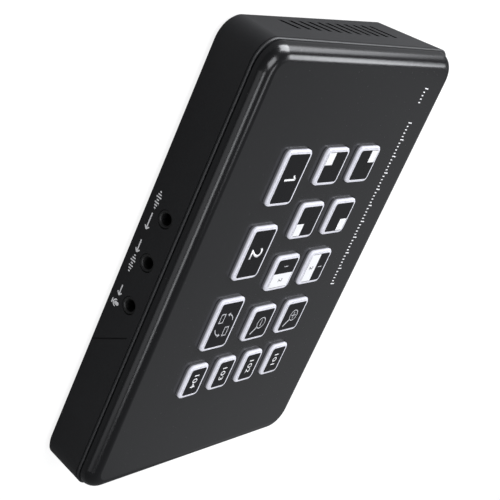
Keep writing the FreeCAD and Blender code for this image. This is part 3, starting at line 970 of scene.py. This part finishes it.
@dataclass
class KeyLegends:
    """The windows, figures and signs on the fifteen keys."""

    finishes: Finishes
    panel: PanelFrame
    plate_thickness: float = 0.75 * MM
    plate_side: float = 11.1
    rim_line: float = 0.36
    rim_radius: float = 1.2
    rim_overhang: float = 0.02
    rim_skirt: float = 0.14
    window_margin: float = 0.50
    window_width: float = 4.2
    window_height: float = 3.8
    line: float = 0.3
    lens_middle: Pair = (-0.2, 0.6)
    lens_radius: float = 2.0
    lens_sign: float = 2.6
    handle_reach: float = 2.69
    handle_size: Pair = (3.2, 0.54)
    screen_middle: Pair = (2.6, 2.3)
    screen_size: Pair = (3.4, 2.2)
    swap_centre: Pair = (-0.2, 0.1)
    swap_radius: float = 3.6
    swap_start: float = 108.0
    swap_sweep: float = 62.0
    swap_tip: float = 172.0
    swap_head: float = 0.75
    figure_height: float = 5.6
    figure_stroke: float = 0.66
    stem_x: float = 0.4
    flag_middle: Pair = (-0.28, 2.08)
    flag_length: float = 1.9
    flag_turn: float = -50.0
    small_figure_height: float = 2.0
    name_height: float = 2.2
    name_spread: float = 1.25

    def top_of(self, key: str) -> Matrix:
        """Return the matrix that lays work on a key's dark plate."""
        return self.panel.at(middle("key_face_" + key) + self.panel.outward * self.plate_thickness / 2)

    def put(self, work: Stencil, key: str, part: str, ink: bpy.types.Material, layer: int = 0,
            skirt: float = 0.0) -> None:
        """Print work on a key.

        Args:
            work: The drawing.
            key: The key's name.
            part: What the drawing is, for its name.
            ink: Its material.
            layer: 1 where it lies on other print.
            skirt: How far its sides reach down past the plate's top.
        """
        work.print_on(f"{part}_{key}", self.top_of(key), ink, "key_" + key, layer, skirt)

    def rim(self, key: str) -> None:
        """Lay the milky band over the edge of a key's plate.

        Args:
            key: The key's name.
        """
        low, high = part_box("key_face_" + key)
        width, height = ((high[i] - low[i]) / MM + 2 * self.rim_overhang for i in (0, 1))
        work = Stencil().rounded_frame(width, height, self.rim_radius, self.rim_line)
        self.put(work, key, "rim", self.finishes.milky, skirt=self.rim_skirt)

    def inset_window(self, corner: Corner) -> None:
        """Print the bright window in one corner of the key that is named after it.

        Args:
            corner: The corner that it fills.
        """
        across, up = corner.value
        reach = self.plate_side / 2 - self.window_margin
        work = Stencil().bar(across * (reach - self.window_width / 2), up * (reach - self.window_height / 2),
                             self.window_width, self.window_height)
        self.put(work, "inset_" + corner.name.lower(), "window", self.finishes.lit_ink)

    def split_window(self, key: str, stacked: bool) -> None:
        """Print a key that is half bright, with a figure in each half.

        Args:
            key: The key's name.
            stacked: True for one half above the other, False for side by side.
        """
        full = self.plate_side - 2 * self.window_margin
        half = full / 2
        dark, lit = ((0.0, half / 2), (0.0, -half / 2)) if stacked else ((-half / 2, 0.0), (half / 2, 0.0))
        size = (full, half) if stacked else (half, full)
        self.put(Stencil().bar(*lit, *size), key, "window", self.finishes.lit_ink)
        first = Stencil().figures("1", *dark, self.small_figure_height)
        self.put(first, key, "first", self.finishes.grey_ink)
        second = Stencil().figures("2", *lit, self.small_figure_height)
        self.put(second, key, "second", self.finishes.black_ink, 1)

    def magnifier(self, key: str, plus: bool) -> None:
        """Print a magnifier with a plus or a minus.

        Args:
            key: The key's name.
            plus: True for a plus.
        """
        x, y = self.lens_middle
        work = Stencil().arc(x, y, self.lens_radius, self.line, 0.0, 360.0)
        work.bar(x, y, self.lens_sign, self.line)
        if plus:
            work.bar(x, y, self.line, self.lens_sign)
        work.bar(x + self.handle_reach, y - self.handle_reach, *self.handle_size, -45.0)
        self.put(work, key, "magnifier", self.finishes.grey_ink)

    def swap_sign(self, key: str) -> None:
        """Print two small screens and the arrows that swap them.

        Args:
            key: The key's name.
        """
        work = Stencil()
        for side in (1, -1):
            work.frame(*(side * value for value in self.screen_middle), *self.screen_size, self.line)
        for side, turn in ((-1, -180.0), (1, 0.0)):
            x, y = (side * value for value in self.swap_centre)
            work.arc(x, y, self.swap_radius, self.line, self.swap_start + turn, self.swap_sweep)
            tip = math.radians(self.swap_tip + turn)
            x, y = x + self.swap_radius * math.cos(tip), y + self.swap_radius * math.sin(tip)
            work.disc(x, y, self.swap_head, 3, self.swap_tip + turn)
        self.put(work, key, "swap_sign", self.finishes.grey_ink)

    def large_one(self) -> Stencil:
        """Return the large figure 1, made of a stem and a flag."""
        stem = Stencil().bar(self.stem_x, 0.0, self.figure_stroke, self.figure_height)
        return stem.bar(*self.flag_middle, self.figure_stroke, self.flag_length, self.flag_turn)

    def build(self) -> None:
        """Print all the keys."""
        for node in frame["nodes"]:
            if node.startswith("key_face_"):
                self.rim(node[len("key_face_"):])
        for corner in Corner:
            self.inset_window(corner)
        self.split_window("split_stacked", True)
        self.split_window("split_beside", False)
        self.magnifier("zoom_in", True)
        self.magnifier("zoom_out", False)
        self.put(self.large_one(), "source_1", "figure", self.finishes.white_ink)
        two = Stencil().figures("2", 0.0, 0.0, self.figure_height)
        self.put(two, "source_2", "figure", self.finishes.white_ink)
        self.swap_sign("swap")
        for number in range(1, 5):
            work = Stencil().figures(f"10{number}", 0.0, 0.0, self.name_height, 0.0, self.name_spread)
            self.put(work, f"audio_{number}", "figure", self.finishes.white_ink)


@dataclass
class PanelScale:
    """The fine row of marks along the rear of the panel."""

    finishes: Finishes
    panel: PanelFrame
    start: float = -63.5
    end: float = 10.3
    above_keys: float = 19.9
    tick: float = 1.2
    long_tick: float = 2.3
    long_every: int = 5
    line: float = 0.38
    slant: float = -8.0
    count: int = 61
    gap: Tuple[int, ...] = (5, 6, 7, 8, 9)

    def build(self) -> None:
        """Print the marks."""
        work = Stencil()
        pitch = (self.end - self.start) / (self.count - 1)
        for i in range(self.count):
            if i in self.gap:
                continue
            tall = self.tick if i % self.long_every else self.long_tick
            work.bar(self.start + i * pitch, (tall - self.long_tick) / 2, self.line, tall, self.slant)
        row = middle(TOP_KEY).dot(self.panel.up_slope) + self.above_keys * MM
        place = self.panel.outward * self.panel.level + self.panel.up_slope * row
        work.print_on("panel_scale", self.panel.at(place), self.finishes.white_ink, "console")


@dataclass
class JackSigns:
    """The printed signs below the three audio jacks.

    Each layout holds the middle of the sign's symbol, the middle of its arrow and the arrow's length.
    """

    finishes: Finishes
    panel: PanelFrame
    jack_setback: float = 0.35 * MM
    below_axis: float = 5.0 * MM
    lean: float = 0.077
    line: float = 0.40
    output_layout: Triple = (-3.4, 3.4, 5.2)
    input_layout: Triple = (3.0, -2.8, 4.0)
    microphone_layout: Triple = (2.2, -2.2, 3.4)
    head_place: Pair = (0.45, 0.42)
    head_length: float = 1.3
    head_turn: float = 42.0
    wave_bars: Tuple[float, ...] = (0.6, 1.3, 2.0, 0.9, 1.7, 1.1, 0.6)
    wave_pitch: float = 0.85
    capsule_radius: float = 0.55
    capsule_ends: Pair = (0.05, 0.75)
    cradle_level: float = 0.15
    cradle_radius: float = 1.05
    stand_level: float = -1.15
    stand_height: float = 0.6
    foot_level: float = -1.5
    foot_width: float = 1.5

    def wall(self, jack: str) -> Matrix:
        """Return the matrix that lays work on the leaning front wall below a jack.

        Args:
            jack: The jack's node.

        Returns:
            The matrix.
        """
        up = (self.panel.outward - self.panel.up_slope * self.lean).normalized()
        mouth = Vector((middle(jack).x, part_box("line_input_jack")[0][1] - self.jack_setback,
                        middle("line_input_jack").z))
        return lay(mouth - up * self.below_axis, self.panel.across, up, self.panel.across.cross(up))

    def arrow(self, work: Stencil, x: float, length: float) -> None:
        """Draw an arrow that points to the right.

        Args:
            work: The stencil.
            x: Middle of the arrow.
            length: Its length.
        """
        work.bar(x, 0.0, length, self.line)
        back, aside = self.head_place
        for side in (-1, 1):
            work.bar(x + length / 2 - back, side * aside, self.head_length, self.line, -side * self.head_turn)

    def wave(self, work: Stencil, x: float) -> None:
        """Draw a sound wave of upright bars.

        Args:
            work: The stencil.
            x: Middle of the wave.
        """
        for i, tall in enumerate(self.wave_bars):
            work.bar(x + (i - (len(self.wave_bars) - 1) / 2) * self.wave_pitch, 0.0, self.line, tall)

    def microphone(self, work: Stencil, x: float) -> None:
        """Draw an upright microphone in a cradle on a stand.

        Args:
            work: The stencil.
            x: Middle of the microphone.
        """
        low, high = self.capsule_ends
        work.disc(x, high, self.capsule_radius).disc(x, low, self.capsule_radius)
        work.bar(x, (low + high) / 2, 2 * self.capsule_radius, high - low)
        work.arc(x, self.cradle_level, self.cradle_radius, self.line, 180.0, 180.0)
        work.bar(x, self.stand_level, self.line, self.stand_height)
        work.bar(x, self.foot_level, self.foot_width, self.line)

    def build(self) -> None:
        """Print the three signs."""
        for name, jack, symbol, (symbol_x, arrow_x, length) in (
                ("output_sign", "line_output_jack", self.wave, self.output_layout),
                ("input_sign", "line_input_jack", self.wave, self.input_layout),
                ("microphone_sign", "microphone_jack", self.microphone, self.microphone_layout)):
            work = Stencil()
            symbol(work, symbol_x)
            self.arrow(work, arrow_x, length)
            work.print_on(name, self.wall(jack), self.finishes.white_ink, "console")


@dataclass(frozen=True)
class ContactRow:
    """A row of contacts on the lower side of a tongue, whose height is from the socket's middle."""

    tongue_width: float
    count: int
    face_height: float
    behind_mouth: float


@dataclass
class SocketContacts:
    """Gold contacts on the tongues of the rear sockets."""

    finishes: Finishes
    video_row: ContactRow = ContactRow(11.0, 10, -0.05, 1.6)
    oval_row: ContactRow = ContactRow(6.4, 8, -0.37, 1.5)
    side_margin: float = 0.5
    contact_size: Triple = (0.35, 6.0, 0.06)

    def lay_row(self, node: str, row: ContactRow) -> None:
        """Lay a row of contacts in a socket.

        Args:
            node: The socket's node.
            row: The row.
        """
        work = bmesh.new()
        centre = middle(node)
        pitch = (row.tongue_width - 2 * self.side_margin) / (row.count - 1)
        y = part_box(node)[1][1] - (row.behind_mouth + self.contact_size[1] / 2) * MM
        z = centre.z + row.face_height * MM
        for i in range(row.count):
            x = centre.x + (i - (row.count - 1) / 2) * pitch * MM
            made = bmesh.ops.create_cube(work, size=MM)
            bmesh.ops.scale(work, vec=self.contact_size, verts=made["verts"])
            bmesh.ops.translate(work, vec=(x, y, z), verts=made["verts"])
        piece(node + "_contacts", work, self.finishes.gold, "console")

    def build(self) -> None:
        """Lay the contacts of all the rear sockets."""
        for node in ("video_output_socket", "video_input_socket_1", "video_input_socket_2"):
            self.lay_row(node, self.video_row)
        for node in ("power_socket", "data_socket"):
            self.lay_row(node, self.oval_row)


@dataclass(frozen=True)
class Lamp:
    """A soft rectangular lamp. Azimuth is 0 to the rear and 90 to the right; sizes are in metres."""

    name: str
    azimuth: float
    elevation: float
    width: float
    height: float
    radiance: float

    def towards(self) -> Vector:
        """Return the direction from the mixer to the lamp."""
        around, up = math.radians(self.azimuth), math.radians(self.elevation)
        return Vector((math.sin(around) * math.cos(up), math.cos(around) * math.cos(up), math.sin(up)))


LAMPS = (
    Lamp("rear_strip", -14.0, 36.0, 0.28, 0.16, 8.5),
    Lamp("rear_left_card", -36.0, 12.0, 0.12, 0.30, 2.8),
    Lamp("rear_fill", 26.0, 27.0, 0.56, 0.56, 0.21),
    Lamp("left_box", -60.0, 16.0, 0.58, 0.50, 11.0),
    Lamp("front_strip", 152.0, 52.0, 0.42, 0.16, 5.2),
    Lamp("front_card", 158.0, 26.0, 0.50, 0.42, 0.9),
    Lamp("overhead", 25.0, 79.0, 0.34, 0.15, 4.2),
    Lamp("top_fill", 228.0, 58.0, 0.52, 0.44, 5.8),
)


@dataclass
class Studio:
    """Pale floor, soft lights and the camera."""

    lamp_distance: float = 0.9
    lamp_colour: Colour = (0.95, 0.965, 1.0)
    world_colour: Colour = (0.96, 0.975, 1.0)
    world_level: float = 0.14
    white: Colour = (1.0, 1.0, 1.0)
    floor_size: float = 6.0
    floor_gap: float = 0.05 * MM
    floor_colour: Colour = (0.22, 0.22, 0.22)
    floor_glow: float = 0.88
    camera_place: Triple = (-150.77, -330.05, 174.84)
    camera_forward: Triple = (0.3702, 0.8079, -0.4585)
    camera_up: Triple = (-0.8467, 0.0903, -0.5244)
    focal_length: float = 93.2
    sensor_width: float = 36.0
    clip_range: Pair = (0.01, 50.0)

    def camera(self, panel: PanelFrame, panel_middle: Vector) -> None:
        """Place the camera where the photograph was taken from.

        Args:
            panel: The panel's directions, in which the camera's place is given in millimetres.
            panel_middle: The middle of the panel's face.
        """
        turn = Matrix((panel.across, panel.up_slope, panel.outward)).transposed()
        forward = (turn @ Vector(self.camera_forward)).normalized()
        up = turn @ Vector(self.camera_up)
        right = forward.cross(up).normalized()
        up = right.cross(forward)
        data = bpy.data.cameras.new("camera")
        data.lens = self.focal_length
        data.sensor_width = self.sensor_width
        data.clip_start, data.clip_end = self.clip_range
        camera = bpy.data.objects.new("camera", data)
        bpy.context.scene.collection.objects.link(camera)
        place = panel_middle + turn @ Vector(self.camera_place) * MM
        camera.matrix_world = lay(place, right, up, -forward)
        bpy.context.scene.camera = camera

    def floor(self) -> None:
        """Lay the pale floor, which is white to the camera and keeps the mixer's shadow."""
        work = bmesh.new()
        bmesh.ops.create_grid(work, x_segments=1, y_segments=1, size=self.floor_size / 2)
        mesh = bpy.data.meshes.new("floor")
        work.to_mesh(mesh)
        work.free()
        floor = bpy.data.objects.new("floor", mesh)
        floor.location.z = -self.floor_gap
        bpy.context.scene.collection.objects.link(floor)
        graph = Graph.of_material("pale_floor")
        lit = graph.add("ShaderNodeBsdfDiffuse", None, {"Color": self.floor_colour})
        white = graph.add("ShaderNodeEmission", None, {"Color": self.white, "Strength": self.floor_glow})
        both = graph.add("ShaderNodeAddShader", None, {0: lit, 1: white})
        shader = graph.add("ShaderNodeMixShader", None, {0: graph.seen_directly(), 1: lit, 2: both})
        mesh.materials.append(graph.close(shader))

    def hang(self, lamp: Lamp) -> None:
        """Hang a soft rectangular lamp that faces the mixer.

        Args:
            lamp: The lamp.
        """
        data = bpy.data.lights.new(lamp.name, "AREA")
        data.shape = "RECTANGLE"
        data.size, data.size_y = lamp.width, lamp.height
        data.energy = lamp.radiance * math.pi * lamp.width * lamp.height
        data.color = self.lamp_colour
        made = bpy.data.objects.new(lamp.name, data)
        bpy.context.scene.collection.objects.link(made)
        turned = lamp.towards().to_track_quat("Z", "Y").to_matrix().to_4x4()
        made.matrix_world = Matrix.Translation(lamp.towards() * self.lamp_distance) @ turned

    def lights(self) -> None:
        """Hang the lamps and set the world, which is white to the camera."""
        for lamp in LAMPS:
            self.hang(lamp)
        world = bpy.data.worlds.new("studio")
        graph = Graph(world)
        light = {"Color": self.world_colour, "Strength": self.world_level}
        dim = graph.add("ShaderNodeBackground", None, light)
        white = graph.add("ShaderNodeBackground", None, {"Color": self.white, "Strength": 1.0})
        shader = graph.add("ShaderNodeMixShader", None, {0: graph.seen_directly(), 1: dim, 2: white})
        bpy.context.scene.world = graph.close(shader, "ShaderNodeOutputWorld")


def main() -> None:
    """Build the looks in order."""
    logging.basicConfig(level=logging.INFO, format="%(name)s %(message)s")
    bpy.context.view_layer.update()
    bpy.context.scene.view_settings.view_transform = "Standard"
    panel = PanelFrame.from_joints(frame["joints"])
    finishes = Finishes(panel)
    Console(finishes, frame["nodes"]).dress()
    KeyLegends(finishes, panel).build()
    PanelScale(finishes, panel).build()
    JackSigns(finishes, panel).build()
    SocketContacts(finishes).build()
    studio = Studio()
    studio.floor()
    studio.lights()
    row = middle(TOP_KEY).dot(panel.up_slope) - TOP_ROW
    studio.camera(panel, panel.outward * panel.level + panel.up_slope * row)


if __name__ == "__main__":
    main()
